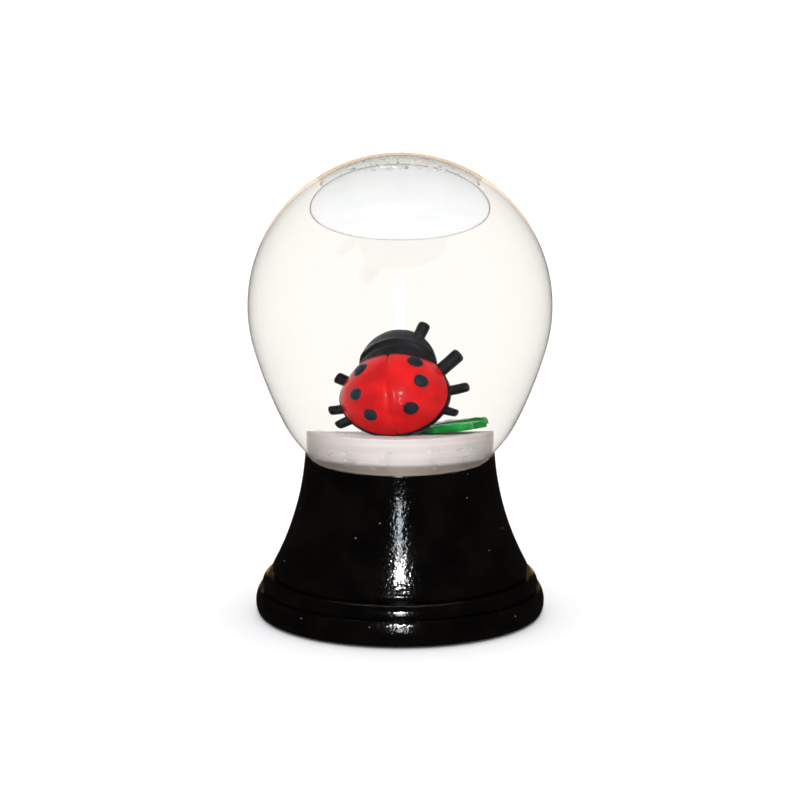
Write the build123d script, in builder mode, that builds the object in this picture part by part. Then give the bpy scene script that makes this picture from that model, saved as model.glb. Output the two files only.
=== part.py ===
"""A small liquid-filled snow globe: a blown glass bulb of water on a hollow black pedestal.

Millimetres, +Z up. The origin is the middle of the face that the globe stands on, and the
bulb's axis is Z. A ladybug on clover leaves stands on the white plug that closes the bulb's
neck, with its back to the front, -Y. Loose snow lies in the gutter round the plug.
"""

import math
import os
import random

from build123d import *

# The bulb: a ball, a flatter cheek, a shoulder and a throat, each an arc tangent to the last.
globe_radius = 12.5
globe_centre_z = 26.1
glass_wall = 0.7
ball_lean = 16.0
cheek_radius = 37.0
cheek_turn = 10.0
shoulder_radius = 9.6
shoulder_turn = 22.0
neck_radius = 6.45
neck_end_z = 9.5

# The pedestal, from its foot to the rim that the bulb sits in.
foot_z = 0.25
foot_radius = 11.87
foot_height = 2.05
ring_radius = 11.35
ring_top_radius = 10.85
ring_height = 1.2
lip_radius = 10.5
lip_height = 0.6
rim_z = 13.6
rim_radius = 7.8
flare_sag = 0.52
pedestal_wall = 1.1
socket_floor_z = 9.0
socket_floor = 1.0
step_depth = 0.18
edge_round = 0.06

# The ribs under the socket, and what closes the pedestal from below.
rib_count = 4
rib_thickness = 0.8
rib_depth = 2.6
cover_radius = 10.6
cover_thickness = 0.8
felt_radius = 10.4
felt_thickness = 0.65
fit_clearance = 0.1
cement_gap = 0.15

# The plug with its seal.
plug_top_z = 17.05
plug_radius = 5.6
plug_plate = 1.2
plug_wall = 1.1
plug_flange_height = 0.5
seal_height = 0.8
seal_depth = 0.5
seal_z = 10.7
boss_radius = 1.6
peg_radius = 0.7
peg_length = 1.9

# The water and its air bubble.
water_gap = 0.02
bubble_floor_z = 32.0
meniscus_radius = 2.4

# The ladybug, in its own frame: x across its back, y towards its head, z out of its back.
ladybug_x = -0.3
ladybug_y = 0.6
ladybug_height = 3.05
ladybug_turn = 15.0
ladybug_lean = 27.0
ladybug_roll = 10.0
body_radius = 3.27
dome_height = 2.35
belly_radius = 3.34
belly_thickness = 0.9
wing_gap = 0.12
notch_size = 0.5
head_radius = 2.3
head_height = 1.2
head_across = 0.27
head_forward = 2.15
head_depth = 0.8
leg_radius = 0.42
front_leg = (33.0, 4.8)
middle_leg = (3.0, 4.5)
rear_leg = (-26.0, 4.2)
left_front_trim = 0.75
left_middle_trim = 0.4
left_leg_drop_angle = 11.0
leg_drop = 0.45
antenna_radius = 0.36
antenna_length = 0.8
spot_radius = 0.52
spot_height = 0.2
upper_spots = ((1.72, 1.85), (1.66, 1.92))
middle_spots = ((2.15, -0.1), (2.08, 0.4))
lower_spots = ((1.4, -1.95), (1.3, -1.8))

# The clover leaflets, flat hearts with one point at the ladybug's foot.
leaflet_length = 4.4
leaflet_width = 3.2
leaflet_thickness = 0.65
leaflet_stalk_y = 1.2

# The snow: small six-sided plates.
flake_radius = 0.26
flake_thickness = 0.12
flake_spacing = 0.62
snow_depth = 1.6
bed_count = 26
lift_groups = 6
lift_count = 9
plug_flake_count = 12
crown_flake_count = 34
crown_spread = 4.2
snow_seed = 20

plug_top = Plane.XY.offset(plug_top_z)
snow = random.Random(snow_seed)


def save(solid, name):
    """Label a finished piece and write it as its own STEP file."""
    solid.label = name
    export_step(solid, f"parts/{name}.step")
    print(name, round(solid.volume, 2))


# ---------------------------------------------------------------- bulb and pedestal


def globe_form(inset, bottom_z):
    """The solid inside the bulb's outer face moved inwards by inset, down to bottom_z."""
    with BuildPart() as form:
        with BuildSketch(Plane.XZ):
            with BuildLine():
                crown = (0, globe_centre_z + globe_radius - inset)
                ball = JernArc(crown, (1, 0), globe_radius - inset, -(90 + ball_lean))
                cheek = JernArc(ball @ 1, ball % 1, cheek_radius - inset, -cheek_turn)
                shoulder = JernArc(cheek @ 1, cheek % 1, shoulder_radius - inset, -shoulder_turn)
                # The throat turns back to straight down, just as it reaches the neck's radius.
                lean = ball_lean + cheek_turn + shoulder_turn
                fall = (shoulder @ 1).X - (neck_radius - inset)
                throat_radius = fall / (1 - math.cos(math.radians(lean)))
                throat = JernArc(shoulder @ 1, shoulder % 1, throat_radius, lean)
                Line(throat @ 1, (neck_radius - inset, bottom_z))
                Line((neck_radius - inset, bottom_z), (0, bottom_z))
                Line((0, bottom_z), crown)
            make_face()
        revolve(axis=Axis.Z)
    return form.part


def ring(inner_radius, outer_radius, low_z, high_z):
    """A plain ring round the globe's axis."""
    with BuildPart() as made:
        with BuildSketch(Plane.XY.offset(low_z)):
            Circle(outer_radius)
            if inner_radius > 0:
                Circle(inner_radius, mode=Mode.SUBTRACT)
        extrude(amount=high_z - low_z)
    return made.part


def globe_glass():
    with BuildPart() as glass:
        add(globe_form(0, neck_end_z))
        add(globe_form(glass_wall, neck_end_z - 1), mode=Mode.SUBTRACT)
        neck_edges = glass.faces().sort_by(Axis.Z)[0].edges()
        fillet(neck_edges, radius=glass_wall * 0.35)
    return glass.part


def base_shell():
    foot_top_z = foot_z + foot_height
    ring_top_z = foot_top_z + ring_height
    lip_top_z = ring_top_z + lip_height
    ledge_z = felt_thickness + cover_thickness
    hollow_top_z = socket_floor_z - socket_floor
    recess_radius = cover_radius + fit_clearance
    ledge_radius = recess_radius - 0.8
    flare_share = (hollow_top_z - lip_top_z) / (rim_z - lip_top_z)
    hollow_radius = lip_radius + (rim_radius - lip_radius) * flare_share - flare_sag - pedestal_wall
    with BuildPart() as base:
        with BuildSketch(Plane.XZ) as section:
            with BuildLine():
                Line((0, foot_z), (foot_radius - 0.25, foot_z))
                ThreePointArc(
                    (foot_radius - 0.25, foot_z),
                    (foot_radius, foot_z + 0.4 * foot_height),
                    (foot_radius - 0.3, foot_top_z),
                )
                Line((foot_radius - 0.3, foot_top_z), (ring_radius - step_depth, foot_top_z))
                Line((ring_radius - step_depth, foot_top_z), (ring_radius, foot_top_z + step_depth))
                ThreePointArc(
                    (ring_radius, foot_top_z + step_depth),
                    ((ring_radius + ring_top_radius) / 2 + 0.12, foot_top_z + 0.62 * ring_height),
                    (ring_top_radius, ring_top_z),
                )
                Line((ring_top_radius, ring_top_z), (lip_radius - step_depth, ring_top_z))
                Line((lip_radius - step_depth, ring_top_z), (lip_radius, ring_top_z + step_depth))
                Line((lip_radius, ring_top_z + step_depth), (lip_radius, lip_top_z))
                SagittaArc((lip_radius, lip_top_z), (rim_radius, rim_z), flare_sag)
                Line((rim_radius, rim_z), (0, rim_z))
                Line((0, rim_z), (0, foot_z))
            make_face()
            outer_corners = section.vertices().filter_by_position(Axis.X, rim_radius, foot_radius)
            fillet(outer_corners, radius=edge_round)
        revolve(axis=Axis.Z)
        # The seat for the bulb, a cement gap wider than the glass all round.
        add(globe_form(-cement_gap, socket_floor_z), mode=Mode.SUBTRACT)
        # The hollow below the socket, with a ledge for the cover.
        with BuildSketch(Plane.XZ):
            Polygon(
                (0, 0),
                (recess_radius, 0),
                (recess_radius, ledge_z),
                (ledge_radius, ledge_z),
                (ledge_radius, ring_top_z - 0.6),
                (lip_radius - pedestal_wall - 0.2, lip_top_z),
                (hollow_radius, hollow_top_z),
                (0, hollow_top_z),
                align=None,
            )
        revolve(axis=Axis.Z, mode=Mode.SUBTRACT)
        # Ribs that carry the socket floor out to the wall.
        with BuildSketch(Plane.XY.offset(hollow_top_z - rib_depth)):
            for turn in range(rib_count // 2):
                Rectangle(
                    2 * (hollow_radius + pedestal_wall / 2),
                    rib_thickness,
                    rotation=turn * 360 / rib_count,
                )
        extrude(amount=rib_depth)
    return base.part


def bottom_cover():
    top_z = felt_thickness + cover_thickness
    with BuildPart() as cover:
        add(ring(0, cover_radius, felt_thickness, top_z))
        # A stiffening rib, and a shallow finger dimple in the middle.
        add(ring(cover_radius - 3.2, cover_radius - 2.4, top_z, top_z + 0.6))
        fillet(cover.edges().filter_by(GeomType.CIRCLE).sort_by(Axis.Z)[-2:], radius=0.15)
    return cover.part


def felt_pad():
    with BuildPart() as pad:
        add(ring(0, felt_radius, 0, felt_thickness))
    return pad.part


def neck_cement():
    """The bead between the glass and the socket, up to just under the rim."""
    plug_flange_z = socket_floor_z + plug_flange_height
    with BuildPart() as cement:
        add(globe_form(-cement_gap, socket_floor_z))
        add(globe_form(0, socket_floor_z - 1), mode=Mode.SUBTRACT)
        split(bisect_by=Plane.XY.offset(rim_z - 0.1), keep=Keep.BOTTOM)
        split(bisect_by=Plane.XY.offset(plug_flange_z), keep=Keep.TOP)
    return cement.part


# ---------------------------------------------------------------- plug and water


def plug():
    groove_radius = plug_radius - seal_depth
    core_radius = plug_radius - plug_wall
    plate_z = plug_top_z - plug_plate
    with BuildPart() as made:
        add(ring(0, plug_radius, socket_floor_z, plug_top_z))
        add(ring(0, neck_radius, socket_floor_z, socket_floor_z + plug_flange_height))
        add(ring(0, core_radius, socket_floor_z, plate_z), mode=Mode.SUBTRACT)
        add(ring(groove_radius, plug_radius, seal_z, seal_z + seal_height), mode=Mode.SUBTRACT)
        add(ring(0, boss_radius, plate_z - peg_length + plug_plate - 0.4, plate_z))
        with Locations((ladybug_x, ladybug_y, plug_top_z)):
            Hole(peg_radius + fit_clearance / 2, depth=peg_length + 0.1)
        rim = made.faces().filter_by(Plane.XY).sort_by(Axis.Z)[-1].outer_wire().edges()
        fillet(rim, radius=0.15)
    return made.part


def plug_seal_ring():
    """A rubber ring in the plug's groove, squeezed against the neck's inner wall."""
    with BuildPart() as seal:
        add(ring(plug_radius - seal_depth, neck_radius - glass_wall, seal_z, seal_z + seal_height))
        outer = seal.edges().filter_by(GeomType.CIRCLE).sort_by(SortBy.RADIUS)[-2:]
        fillet(outer, radius=seal_height * 0.3)
    return seal.part


def air_bubble():
    """The air under the crown: flat below, and rounded where the water wets the glass."""
    inner_radius = globe_radius - glass_wall - water_gap
    rise = bubble_floor_z + meniscus_radius - globe_centre_z
    # The round edge touches the glass's inner face without a corner.
    flat_radius = math.sqrt((inner_radius - meniscus_radius) ** 2 - rise**2)
    lean = math.degrees(math.atan2(flat_radius, rise))
    with BuildPart() as bubble:
        with BuildSketch(Plane.XZ):
            with BuildLine():
                floor = Line((0, bubble_floor_z), (flat_radius, bubble_floor_z))
                edge = JernArc(floor @ 1, (1, 0), meniscus_radius, 180 - lean)
                top = globe_centre_z + globe_radius
                Polyline(edge @ 1, ((edge @ 1).X, top), (0, top), (0, bubble_floor_z))
            make_face()
        revolve(axis=Axis.Z)
    return bubble.part


def water_fill(figures):
    """Everything inside the glass above the plug that is not air, figure or settled snow."""
    with BuildPart() as water:
        add(globe_form(glass_wall + water_gap, socket_floor_z))
        split(bisect_by=Plane.XY.offset(plug_top_z + water_gap), keep=Keep.TOP)
        add(air_bubble(), mode=Mode.SUBTRACT)
        for figure in figures:
            add(figure, mode=Mode.SUBTRACT)
    return water.part


# ---------------------------------------------------------------- the ladybug


def ladybug_plane():
    """The plane between its wings and its belly, with x across, y to the head, z out."""
    turn, lean = math.radians(ladybug_turn), math.radians(ladybug_lean)
    out = Vector(
        -math.sin(turn) * math.cos(lean), -math.cos(turn) * math.cos(lean), math.sin(lean)
    )
    origin = (ladybug_x, ladybug_y, plug_top_z + ladybug_height)
    level = Vector(0, 0, 1).cross(out).normalized()
    up = out.cross(level)
    roll = math.radians(ladybug_roll)
    across = level * math.cos(roll) + up * math.sin(roll)
    return Plane(origin=origin, x_dir=across, z_dir=out)


def on_ladybug(x, y, z):
    """The world point at x, y, z of the ladybug's frame."""
    return ladybug_plane().from_local_coords(Vector(x, y, z))


def cap(centre, out, radius, height, depth):
    """A round cap of one height along out, on a disc of the same radius and some depth."""
    across = Plane(origin=centre, z_dir=out).x_dir
    section = Plane(origin=centre, x_dir=across, z_dir=across.cross(out))
    ball = (radius**2 + height**2) / (2 * height)
    with BuildPart() as made:
        with BuildSketch(section):
            with BuildLine():
                low = height - ball
                middle = (ball * math.sin(0.6), low + ball * math.cos(0.6))
                ThreePointArc((0, height), middle, (radius, 0))
                if depth > 0:
                    Polyline((radius, 0), (radius, -depth), (0, -depth), (0, height))
                else:
                    Polyline((radius, 0), (0, 0), (0, height))
            make_face()
        revolve(axis=Axis(centre, out))
        if depth > 0:
            fillet(made.faces().sort_by(Axis(centre, out))[0].edges(), radius=0.45 * depth)
    return made.part


def standing(solid):
    """The solid cut flat where it stands on the plug."""
    with BuildPart() as cut:
        add(solid)
        split(bisect_by=plug_top, keep=Keep.TOP)
    return cut.part


def dome():
    frame = ladybug_plane()
    return cap(frame.origin, frame.z_dir, body_radius, dome_height, 0)


def wing_case(side):
    """One half of the domed back. side is -1 for the left and 1 for the right."""
    frame = ladybug_plane()
    inner_face = Plane(origin=on_ladybug(side * wing_gap / 2, 0, 0), z_dir=frame.x_dir * side)
    notch_at = Plane(
        origin=on_ladybug(0, body_radius, 0), x_dir=frame.x_dir, z_dir=frame.z_dir
    )
    with BuildPart() as wing:
        add(standing(dome()))
        split(bisect_by=inner_face, keep=Keep.TOP)
        with BuildSketch(notch_at):
            Polygon((-notch_size, 0.2), (notch_size, 0.2), (0, -notch_size), align=None)
        extrude(amount=dome_height, mode=Mode.SUBTRACT)
    return wing.part


def ladybug_belly():
    """The black underside, with the peg that holds the figure in the plug."""
    frame = ladybug_plane()
    with BuildPart() as belly:
        with BuildSketch(frame.offset(-belly_thickness)):
            Circle(belly_radius)
        extrude(amount=belly_thickness)
        fillet(belly.edges().filter_by(GeomType.CIRCLE), radius=belly_thickness * 0.4)
        split(bisect_by=plug_top, keep=Keep.TOP)
        with BuildSketch(plug_top):
            with Locations((ladybug_x, ladybug_y)):
                Circle(peg_radius)
        extrude(amount=-peg_length)
        add(foot_block())
    return belly.part


def foot_block():
    """The peg's upper end, which joins it to the belly behind the dome."""
    with BuildPart() as block:
        with BuildSketch(plug_top):
            with Locations((ladybug_x, ladybug_y)):
                Circle(peg_radius + 0.3)
        extrude(amount=0.9)
        add(dome(), mode=Mode.SUBTRACT)
    return block.part


def ladybug_head():
    frame = ladybug_plane()
    with BuildPart() as head:
        add(cap(on_ladybug(head_across, head_forward, 0), frame.z_dir, head_radius, head_height, head_depth))
        add(dome(), mode=Mode.SUBTRACT)
        add(ladybug_belly(), mode=Mode.SUBTRACT)
    return head.part.solids().sort_by(SortBy.VOLUME)[-1]


def stub(start, direction, length, radius, tip_round):
    """A round rod with its far end rounded over."""
    axis = Plane(origin=start, z_dir=direction)
    with BuildPart() as rod:
        with BuildSketch(axis):
            Circle(radius)
        extrude(amount=length)
        fillet(rod.faces().sort_by(Axis(start, direction))[-1].edges(), radius=tip_round)
    return rod.part


def leg(side, angle, reach):
    """A leg on one side, angle degrees up towards the head from straight out."""
    swing = math.radians(angle)
    frame = ladybug_plane()
    away = Vector(side * math.cos(swing), math.sin(swing), 0)
    direction = frame.from_local_coords(away) - frame.origin
    start = on_ladybug(away.X * 2, away.Y * 2, -leg_drop)
    with BuildPart() as made:
        add(stub(start, direction, reach - 2, leg_radius, 0.9 * leg_radius))
        add(ladybug_belly(), mode=Mode.SUBTRACT)
        add(dome(), mode=Mode.SUBTRACT)
        split(bisect_by=plug_top, keep=Keep.TOP)
    return made.part.solids().sort_by(SortBy.VOLUME)[-1]


def antenna(side, across, along, out_tilt):
    """A feeler on one side of the head, towards across, along and out_tilt."""
    frame = ladybug_plane()
    direction = frame.from_local_coords(Vector(side * across, along, out_tilt)) - frame.origin
    start = on_ladybug(head_across + side * across * 2, head_forward + along * 1.3, 0)
    with BuildPart() as made:
        add(stub(start, direction, antenna_length + 0.8, antenna_radius, 0.9 * antenna_radius))
        add(ladybug_head(), mode=Mode.SUBTRACT)
        add(dome(), mode=Mode.SUBTRACT)
        add(ladybug_belly(), mode=Mode.SUBTRACT)
    return made.part.solids().sort_by(SortBy.VOLUME)[-1]


def spots(side):
    """The three raised spots of one wing case."""
    made = []
    frame = ladybug_plane()
    ball = (body_radius**2 + dome_height**2) / (2 * dome_height)
    ball_centre = on_ladybug(0, 0, dome_height - ball)
    for pair in (upper_spots, middle_spots, lower_spots):
        across, along = pair[0] if side < 0 else pair[1]
        rise = math.sqrt(ball * ball - across * across - along * along)
        surface = on_ladybug(side * across, along, dome_height - ball + rise)
        out = (surface - ball_centre).normalized()
        with BuildPart() as spot:
            add(stub(surface - out * 0.4, out, 0.4 + spot_height, spot_radius, 0.8 * spot_height))
            add(dome(), mode=Mode.SUBTRACT)
        made.append(spot.part.solids().sort_by(SortBy.VOLUME)[-1])
    return Compound(made)


# ---------------------------------------------------------------- clover and snow


def leaflet(turn, lift, droop):
    """A heart-shaped leaflet that points away from its stalk, turn degrees round from +X."""
    stalk = Plane(
        origin=(ladybug_x + 0.9, ladybug_y + leaflet_stalk_y, plug_top_z + lift),
        x_dir=(1, 0, 0),
        z_dir=(0, 0, 1),
    ).rotated((0, 0, turn)).rotated((0, -droop, 0))
    half = leaflet_width / 2
    with BuildPart() as leaf:
        with BuildSketch(stalk):
            with BuildLine():
                Bezier(
                    (0, 0),
                    (0.4 * leaflet_length, half * 0.55),
                    (0.75 * leaflet_length, half * 1.3),
                    (leaflet_length, half * 0.62),
                )
                Bezier(
                    (leaflet_length, half * 0.62),
                    (leaflet_length * 1.0, half * 0.2),
                    (leaflet_length * 0.93, 0),
                )
                mirror(about=Plane.XZ)
            make_face()
        extrude(amount=leaflet_thickness)
        fillet(leaf.faces().sort_by(Axis.Z)[-1].edges(), radius=0.12)
        split(bisect_by=plug_top, keep=Keep.TOP)
        add(dome(), mode=Mode.SUBTRACT)
        add(ladybug_belly(), mode=Mode.SUBTRACT)
    return leaf.part.solids().sort_by(SortBy.VOLUME)[-1]


def flake(centre, out):
    with BuildPart() as plate:
        with BuildSketch(Plane(origin=centre, z_dir=out)):
            RegularPolygon(flake_radius, 6)
        extrude(amount=flake_thickness / 2, both=True)
    return plate.part.solid()


def apart(point, others):
    return all((point - other).length > flake_spacing for other in others)


def scattered(count, place, taken):
    """Flakes at places that place() proposes, none near another in taken."""
    made = []
    while len(made) < count:
        point, out = place()
        if apart(point, taken):
            taken.append(point)
            made.append(flake(point, out))
    return Compound(made)


def tumbled():
    """A direction mostly upwards, as a flake that has come to rest."""
    return Vector(snow.uniform(-0.5, 0.5), snow.uniform(-0.5, 0.5), 1).normalized()


def shoulder_form():
    """The start and end of the shoulder arc on the glass's inner face: radius, height, lean."""
    lean = math.radians(ball_lean)
    radius = (globe_radius - glass_wall) * math.cos(lean)
    height = globe_centre_z - (globe_radius - glass_wall) * math.sin(lean)
    made = []
    for bend, turn in ((cheek_radius, cheek_turn), (shoulder_radius, shoulder_turn)):
        end = lean + math.radians(turn)
        radius -= (bend - glass_wall) * (math.cos(lean) - math.cos(end))
        height -= (bend - glass_wall) * (math.sin(end) - math.sin(lean))
        lean = end
        made.append((radius, height, lean))
    return made


def gutter_wall(z):
    """The radius of the glass's inner face at height z, beside the plug."""
    radius, height, lean = shoulder_form()[0]
    bend = shoulder_radius - glass_wall
    sine = math.sin(lean) + (height - z) / bend
    return radius - bend * (math.cos(lean) - math.sqrt(1 - sine * sine))


def gutter_place(middle, spread):
    """A place in the gutter round the plug, within spread degrees of the middle azimuth."""
    low_z = shoulder_form()[1][1] + flake_radius

    def place():
        height = snow.uniform(low_z, low_z + snow_depth)
        radius = snow.uniform(plug_radius + 0.35, gutter_wall(height - 0.15) - 0.35)
        azimuth = math.radians(snow.uniform(middle - spread, middle + spread))
        point = Vector(radius * math.cos(azimuth), radius * math.sin(azimuth), height)
        return point, tumbled()

    return place


def plug_place():
    """A place on the plug's top, clear of the ladybug's foot and the leaves."""
    azimuth = math.radians(snow.uniform(150, 235))
    radius = snow.uniform(3.9, plug_radius - 0.5)
    point = Vector(radius * math.cos(azimuth), radius * math.sin(azimuth), 0)
    return point + Vector(0, 0, plug_top_z + flake_thickness / 2 + 0.02), Vector(0, 0, 1)


def crown_place():
    """A place on the dry glass under the crown."""
    inner = globe_radius - glass_wall - flake_thickness / 2 - 0.03
    reach = crown_spread * math.sqrt(snow.random())
    azimuth = snow.uniform(0, 2 * math.pi)
    x, y = reach * math.cos(azimuth), 0.6 * reach * math.sin(azimuth)
    height = math.sqrt(inner**2 - x * x - y * y)
    out = Vector(x, y, height).normalized()
    return Vector(x, y, globe_centre_z + height), out


def main():
    os.makedirs("parts", exist_ok=True)
    save(base_shell(), "base_shell")
    save(bottom_cover(), "bottom_cover")
    save(felt_pad(), "felt_pad")
    save(neck_cement(), "neck_cement")
    save(globe_glass(), "globe_glass")
    save(plug(), "plug")
    save(plug_seal_ring(), "plug_seal_ring")

    figure = {
        "ladybug_belly": ladybug_belly(),
        "wing_case_left": wing_case(-1),
        "wing_case_right": wing_case(1),
        "ladybug_head": ladybug_head(),
        "antenna_left": antenna(-1, 0.55, 0.35, -0.75),
        "antenna_right": antenna(1, 0.5, 0.85, 0.0),
        "spots_left": spots(-1),
        "spots_right": spots(1),
    }
    for word, side in (("left", -1), ("right", 1)):
        # The left front and middle legs are shorter, and the left middle one hangs lower.
        trims = (left_front_trim, left_middle_trim) if side < 0 else (0, 0)
        drop = left_leg_drop_angle if side < 0 else 0
        figure[f"leg_front_{word}"] = leg(side, front_leg[0], front_leg[1] - trims[0])
        figure[f"leg_middle_{word}"] = leg(side, middle_leg[0] - drop, middle_leg[1] - trims[1])
        figure[f"leg_rear_{word}"] = leg(side, *rear_leg)
    figure["leaflet_right"] = leaflet(-20, 0.05, 4)
    figure["leaflet_back_right"] = leaflet(40, 0.05, 7)
    figure["leaflet_back"] = leaflet(97, 0.05, 6)
    for name, solid in figure.items():
        save(solid, name)

    taken = []
    save(scattered(bed_count, gutter_place(0, 180), taken), "snow_bed")
    for group in range(lift_groups):
        middle = group * 360 / lift_groups
        save(scattered(lift_count, gutter_place(middle, 75), taken), f"snow_lift_{group + 1}")
    figure["snow_on_plug"] = scattered(plug_flake_count, plug_place, taken)
    save(figure["snow_on_plug"], "snow_on_plug")
    save(water_fill(figure.values()), "water_fill")
    save(scattered(crown_flake_count, crown_place, taken), "snow_on_crown")


main()
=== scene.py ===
# Snow globe with a ladybug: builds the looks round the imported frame.
import math
import random
import bmesh
import bpy
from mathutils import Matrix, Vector, noise


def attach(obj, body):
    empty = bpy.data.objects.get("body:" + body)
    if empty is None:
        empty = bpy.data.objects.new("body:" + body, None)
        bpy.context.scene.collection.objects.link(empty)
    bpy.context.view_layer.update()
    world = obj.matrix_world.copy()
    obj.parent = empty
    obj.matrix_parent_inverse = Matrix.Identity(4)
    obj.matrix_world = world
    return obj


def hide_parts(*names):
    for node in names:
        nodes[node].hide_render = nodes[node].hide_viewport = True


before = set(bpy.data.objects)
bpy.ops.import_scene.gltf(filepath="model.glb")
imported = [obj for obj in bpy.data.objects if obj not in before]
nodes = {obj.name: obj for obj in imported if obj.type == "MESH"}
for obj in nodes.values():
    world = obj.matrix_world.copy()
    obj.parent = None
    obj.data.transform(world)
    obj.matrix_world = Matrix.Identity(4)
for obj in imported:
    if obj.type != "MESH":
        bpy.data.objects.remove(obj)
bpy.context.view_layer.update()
mm = 0.001

globe = {
    "radius": 12.5, "centreZ": 26.1, "wall": 0.7, "ballLean": 16.0,
    "cheek": (37.0, 10.0), "shoulder": (9.6, 22.0), "neckRadius": 6.45, "neckEndZ": 9.5,
    "turns": 288,
}
bubble = {
    "floorZ": 32.45, "radius": 6.1, "archRadius": 30.0, "edgeRadius": 0.4,
    "shadeLineFrom": 0.22, "shadeLineTo": 0.06,  # the painted grey shade line, inwards from the edge
    "smallTiltDeg": 13.8, "smallWidth": 0.8, "smallDepth": 0.45, "smallRows": 18, "smallTurns": 36,
    "smallReach": 11.2, "small": ((-5.7, 10.4, 3.0, 0.95), (5.7, 10.4, 3.0, 0.95)),
}
plugTopZ = 17.05


class Value:
    # A socket that can be added, multiplied and compared like a number.
    def __init__(self, tree, socket):
        self.tree, self.socket = tree, socket

    def math(self, operation, *terms):
        made = self.tree.nodes.new("ShaderNodeMath")
        made.operation = operation
        for slot, term in zip(made.inputs, terms):
            if isinstance(term, Value):
                self.tree.links.new(term.socket, slot)
            else:
                slot.default_value = term
        return Value(self.tree, made.outputs[0])

    def __add__(self, other): return self.math("ADD", self, other)
    def __radd__(self, other): return self.math("ADD", self, other)
    def __sub__(self, other): return self.math("SUBTRACT", self, other)
    def __rsub__(self, other): return self.math("SUBTRACT", other, self)
    def __mul__(self, other): return self.math("MULTIPLY", self, other)
    def __rmul__(self, other): return self.math("MULTIPLY", self, other)
    def __truediv__(self, other): return self.math("DIVIDE", self, other)
    def __rtruediv__(self, other): return self.math("DIVIDE", other, self)
    def __pow__(self, other): return self.math("POWER", self, other)

    def between(self, low, high):  # 0 at low, 1 at high, smooth and clamped
        made = self.tree.nodes.new("ShaderNodeMapRange")
        made.interpolation_type = "SMOOTHSTEP"
        self.tree.links.new(self.socket, made.inputs["Value"])
        made.inputs["From Min"].default_value = low
        made.inputs["From Max"].default_value = high
        return Value(self.tree, made.outputs["Result"])


class Finish:
    # One material with a Principled shader. Constants are set on the shader's own sockets.
    def __init__(self, name, **constants):
        self.material = bpy.data.materials.new(name)
        self.material.use_nodes = True
        self.tree = self.material.node_tree
        self.shader = self.tree.nodes["Principled BSDF"]
        for word, value in constants.items():
            self.shader.inputs[word.replace("_", " ")].default_value = value
        self.place = self.node("ShaderNodeTexCoord").outputs["Object"]

    def node(self, kind, settings=None, **inputs):  # any other node, linked or set by input name
        made = self.tree.nodes.new(kind)
        for word, value in (settings or {}).items():
            setattr(made, word, value)
        for word, value in inputs.items():
            slot = made.inputs[word.replace("_", " ")]
            if isinstance(value, Value):
                self.tree.links.new(value.socket, slot)
            elif isinstance(value, bpy.types.NodeSocket):
                self.tree.links.new(value, slot)
            else:
                slot.default_value = value
        return made

    def value(self, socket):
        return Value(self.tree, socket)

    def grain(self, sizeMm, detail=3.0, stretch=(1, 1, 1), offset=0.0, roughness=0.5):
        # Noise with features about sizeMm across, from 0 to 1 round 0.5.
        shift = (offset * 0.01, offset * 0.013, 0)
        moved = self.node("ShaderNodeMapping", Vector=self.place, Scale=stretch, Location=shift)
        made = self.node("ShaderNodeTexNoise", Vector=moved.outputs[0], Scale=1 / (sizeMm * mm),
                         Detail=detail, Roughness=roughness)
        return self.value(made.outputs[0])

    def cells(self, sizeMm):  # distance to scattered points, in cells
        made = self.node("ShaderNodeTexVoronoi", Vector=self.place, Scale=1 / (sizeMm * mm),
                         Randomness=1.0)
        return self.value(made.outputs["Distance"])

    def axis(self, letter):  # Object coordinate in mm
        parts = self.node("ShaderNodeSeparateXYZ", Vector=self.place)
        return self.value(parts.outputs["XYZ".index(letter)]) / mm

    def blend(self, factor, first, second):
        made = self.node("ShaderNodeMix", {"data_type": "RGBA"})
        for number, term in ((0, factor), (6, first), (7, second)):
            slot = made.inputs[number]
            if isinstance(term, Value):
                self.tree.links.new(term.socket, slot)
            elif isinstance(term, bpy.types.NodeSocket):
                self.tree.links.new(term, slot)
            else:
                slot.default_value = (*term, 1.0) if isinstance(term, tuple) else term
        return made.outputs[2]

    def feed(self, word, source):
        socket = source.socket if isinstance(source, Value) else source
        self.tree.links.new(socket, self.shader.inputs[word])

    def bumps(self, *layers):  # (height, depthMm) pairs, laid one on another
        normal = None
        for height, depthMm in layers:
            made = self.node("ShaderNodeBump", Height=height, Strength=1.0, Distance=depthMm * mm)
            if normal:
                self.tree.links.new(normal, made.inputs["Normal"])
            normal = made.outputs["Normal"]
        self.tree.links.new(normal, self.shader.inputs["Normal"])


def blackLacquer():
    look = Finish("blackLacquer", IOR=1.52, Coat_Roughness=0.03, Coat_IOR=1.5)
    peel = look.grain(0.6, 2.0)
    speckle = look.grain(0.26, 1.0, offset=1, roughness=0.7)
    mottle = look.grain(3.5, 4.0, offset=3)
    haze = look.grain(6.0, 3.0, offset=7).between(0.45, 0.72)
    specks = 1.0 - look.cells(1.15).between(0.035, 0.062)  # dust on the lacquer
    rare = look.grain(2.2, 1.0, offset=11).between(0.52, 0.6)
    dust = specks * rare
    body = look.blend(mottle.between(0.35, 0.7), (0.0008, 0.0007, 0.0007), (0.0025, 0.0019, 0.0014))
    look.feed("Base Color", look.blend(dust * 0.75, body, (0.32, 0.31, 0.3)))
    look.feed("Roughness", 0.07 + haze * 0.06 + speckle * 0.06 + dust * 0.5)
    look.feed("Coat Weight", 0.22 - dust * 0.2 - haze * 0.1)
    look.bumps((mottle, 0.02), (peel, 0.012), (speckle, 0.022), (dust, 0.02))
    return look.material


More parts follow.
